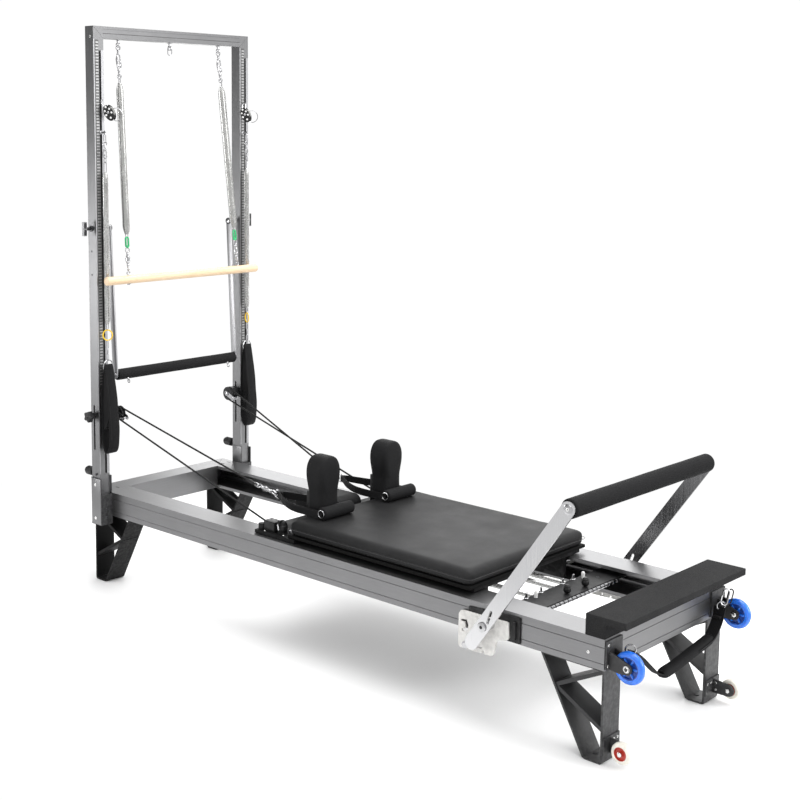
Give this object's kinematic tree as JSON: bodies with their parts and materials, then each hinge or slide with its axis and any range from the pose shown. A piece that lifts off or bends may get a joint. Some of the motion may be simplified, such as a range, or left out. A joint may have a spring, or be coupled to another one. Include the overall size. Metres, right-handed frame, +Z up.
{
  "type": "pilates reformer",
  "caption": "Pilates exercise bench with a sliding padded carriage on rails, a hinged footbar and a tall tower frame with springs, bars and pulleys.",
  "frame": {"origin": "on the floor, under the middle of the machine's whole length and width", "axes": "+X runs along the rails from the tower to the footbar, +Y to the far rail, +Z up"},
  "size_m": [2.5297, 0.868, 2.19],
  "materials": {
    "anodised_aluminium": "fine brushed, mid grey anodised",
    "black_powder_coat": "fine textured powder coat",
    "brushed_stainless": "polished along its length",
    "carpet_board": "fine pebbled black covering",
    "black_leatherette": "matte upholstery with fine grain",
    "black_foam": "closed-cell foam, matte",
    "black_webbing": "woven webbing",
    "beech": "clear satin lacquer",
    "spring_steel": "bright nickel",
    "blue_urethane": "translucent moulded urethane",
    "white_tyre": "smooth",
    "black_plastic": "moulded",
    "black_rope": "braided cover"
  },
  "bodies": {
    "frame": {"rail_near": "anodised_aluminium", "rail_far": "anodised_aluminium", "head_rail": "anodised_aluminium", "foot_rail": "anodised_aluminium", "leg_foot_near": "black_powder_coat", "leg_foot_far": "black_powder_coat", "leg_head_near": "black_powder_coat", "leg_head_far": "black_powder_coat", "tower_socket_near": "anodised_aluminium", "tower_socket_far": "anodised_aluminium", "tower_post_near": "anodised_aluminium", "tower_post_far": "anodised_aluminium", "tower_beam": "anodised_aluminium", "spring_bar": "black_powder_coat", "standing_platform": "carpet_board", "footbar_bracket_near": "brushed_stainless", "footbar_bracket_far": "brushed_stainless", "corner_bracket_near": "black_powder_coat", "corner_bracket_far": "black_powder_coat", "caster_bracket_near": "black_powder_coat", "caster_bracket_far": "black_powder_coat", "carriage_spring_1": "spring_steel", "carriage_spring_2": "spring_steel", "carriage_spring_3": "spring_steel", "carriage_spring_4": "spring_steel", "rope_near": "black_rope", "rope_far": "black_rope"},
    "carriage": {"carriage_frame": "black_powder_coat", "carriage_pad": "black_leatherette", "hand_loop_near": "black_foam", "hand_loop_far": "black_foam"},
    "headrest": {"headrest": "black_leatherette"},
    "footbar": {"footbar": "brushed_stainless", "footbar_grip": "black_foam"},
    "carry_strap": {"carry_strap": "black_webbing"},
    "trapeze": {"trapeze_spring_near": "spring_steel", "trapeze_spring_far": "spring_steel", "trapeze_bar": "beech"},
    "push_bar": {"push_bar": "anodised_aluminium", "push_bar_grip": "black_foam"},
    "shoulder_rest_near": {"shoulder_rest_near": "black_leatherette"},
    "carriage_wheel_head_near": {"carriage_wheel_head_near": "black_plastic"},
    "carriage_wheel_foot_near": {"carriage_wheel_foot_near": "black_plastic"},
    "blue_wheel_near": {"blue_wheel_near": "blue_urethane"},
    "small_wheel_near": {"small_wheel_near": "white_tyre"},
    "arm_swing_near": {"arm_spring_near": "spring_steel", "wrist_strap_near": "black_webbing"},
    "riser_near": {"riser_near": "brushed_stainless"},
    "riser_pulley_near": {"riser_pulley_near": "black_plastic"},
    "lock_knob_near": {"lock_knob_near": "black_plastic"},
    "shoulder_rest_far": {"shoulder_rest_far": "black_leatherette"},
    "carriage_wheel_head_far": {"carriage_wheel_head_far": "black_plastic"},
    "carriage_wheel_foot_far": {"carriage_wheel_foot_far": "black_plastic"},
    "blue_wheel_far": {"blue_wheel_far": "blue_urethane"},
    "small_wheel_far": {"small_wheel_far": "white_tyre"},
    "arm_swing_far": {"arm_spring_far": "spring_steel", "wrist_strap_far": "black_webbing"},
    "riser_far": {"riser_far": "brushed_stainless"},
    "riser_pulley_far": {"riser_pulley_far": "black_plastic"},
    "lock_knob_far": {"lock_knob_far": "black_plastic"}
  },
  "joints": [
    {"name": "carriage_slide", "type": "slide", "parent": "frame", "child": "carriage", "axis": [1, 0, 0], "range_m": [-0.74, 0], "stiffness_N_per_m": 250, "springref_m": 0.06, "deforming": ["carriage_spring_1", "carriage_spring_2", "carriage_spring_3", "carriage_spring_4", "rope_near", "rope_far"]},
    {"name": "headrest_tilt", "type": "hinge", "parent": "carriage", "child": "headrest", "pos_m": [-0.22285, 0, 0.438], "axis": [0, 1, 0], "range_deg": [0, 30]},
    {"name": "footbar_hinge", "type": "hinge", "parent": "frame", "child": "footbar", "pos_m": [0.75315, 0, 0.329], "axis": [0, 1, 0], "range_deg": [-95, 45]},
    {"name": "carry_strap_swing", "type": "hinge", "parent": "frame", "child": "carry_strap", "pos_m": [1.18715, 0, 0.334], "axis": [0, 1, 0], "range_deg": [-85, 3]},
    {"name": "trapeze_swing", "type": "hinge", "parent": "frame", "child": "trapeze", "pos_m": [-1.17285, 0, 2.128], "axis": [0, 1, 0], "range_deg": [-60, 0], "deforming": ["trapeze_spring_near", "trapeze_spring_far"]},
    {"name": "push_bar_swing", "type": "hinge", "parent": "frame", "child": "push_bar", "pos_m": [-1.17285, 0, 1.423], "axis": [0, 1, 0], "range_deg": [-8, 100]},
    {"name": "shoulder_rest_lift_near", "type": "slide", "parent": "carriage", "child": "shoulder_rest_near", "axis": [0, 0, 1], "range_m": [0, 0.16]},
    {"name": "carriage_wheel_head_near_spin", "type": "hinge", "parent": "carriage", "child": "carriage_wheel_head_near", "pos_m": [-0.15285, -0.3215, 0.3442], "axis": [0, 1, 0], "continuous": true},
    {"name": "carriage_wheel_foot_near_spin", "type": "hinge", "parent": "carriage", "child": "carriage_wheel_foot_near", "pos_m": [0.57715, -0.3215, 0.3442], "axis": [0, 1, 0], "continuous": true},
    {"name": "blue_wheel_near_spin", "type": "hinge", "parent": "frame", "child": "blue_wheel_near", "pos_m": [1.21615, -0.313, 0.305], "axis": [0, 1, 0], "continuous": true},
    {"name": "small_wheel_near_spin", "type": "hinge", "parent": "frame", "child": "small_wheel_near", "pos_m": [1.20515, -0.32, 0.05], "axis": [0, 1, 0], "continuous": true},
    {"name": "arm_spring_swing_near", "type": "hinge", "parent": "frame", "child": "arm_swing_near", "pos_m": [-1.11985, -0.365, 1.784], "axis": [0, 1, 0], "range_deg": [-60, 0], "deforming": ["arm_spring_near"]},
    {"name": "riser_slide_near", "type": "slide", "parent": "frame", "child": "riser_near", "axis": [0, 0, 1], "range_m": [-0.12, 0.03], "deforming": ["rope_near"]},
    {"name": "riser_pulley_near_spin", "type": "hinge", "parent": "riser_near", "child": "riser_pulley_near", "pos_m": [-1.15085, -0.289, 0.69], "axis": [0, 1, 0], "continuous": true},
    {"name": "lock_knob_near_turn", "type": "hinge", "parent": "frame", "child": "lock_knob_near", "pos_m": [-1.19315, -0.3675, 0.455], "axis": [1, 0, 0], "continuous": true},
    {"name": "shoulder_rest_lift_far", "type": "slide", "parent": "carriage", "child": "shoulder_rest_far", "axis": [0, 0, 1], "range_m": [0, 0.16]},
    {"name": "carriage_wheel_head_far_spin", "type": "hinge", "parent": "carriage", "child": "carriage_wheel_head_far", "pos_m": [-0.15285, 0.3215, 0.3442], "axis": [0, 1, 0], "continuous": true},
    {"name": "carriage_wheel_foot_far_spin", "type": "hinge", "parent": "carriage", "child": "carriage_wheel_foot_far", "pos_m": [0.57715, 0.3215, 0.3442], "axis": [0, 1, 0], "continuous": true},
    {"name": "blue_wheel_far_spin", "type": "hinge", "parent": "frame", "child": "blue_wheel_far", "pos_m": [1.21615, 0.313, 0.305], "axis": [0, 1, 0], "continuous": true},
    {"name": "small_wheel_far_spin", "type": "hinge", "parent": "frame", "child": "small_wheel_far", "pos_m": [1.20515, 0.32, 0.05], "axis": [0, 1, 0], "continuous": true},
    {"name": "arm_spring_swing_far", "type": "hinge", "parent": "frame", "child": "arm_swing_far", "pos_m": [-1.11985, 0.365, 1.784], "axis": [0, 1, 0], "range_deg": [-60, 0], "deforming": ["arm_spring_far"]},
    {"name": "riser_slide_far", "type": "slide", "parent": "frame", "child": "riser_far", "axis": [0, 0, 1], "range_m": [-0.12, 0.03], "deforming": ["rope_far"]},
    {"name": "riser_pulley_far_spin", "type": "hinge", "parent": "riser_far", "child": "riser_pulley_far", "pos_m": [-1.15085, 0.289, 0.69], "axis": [0, 1, 0], "continuous": true},
    {"name": "lock_knob_far_turn", "type": "hinge", "parent": "frame", "child": "lock_knob_far", "pos_m": [-1.19315, 0.3675, 0.455], "axis": [1, 0, 0], "continuous": true}
  ]
}
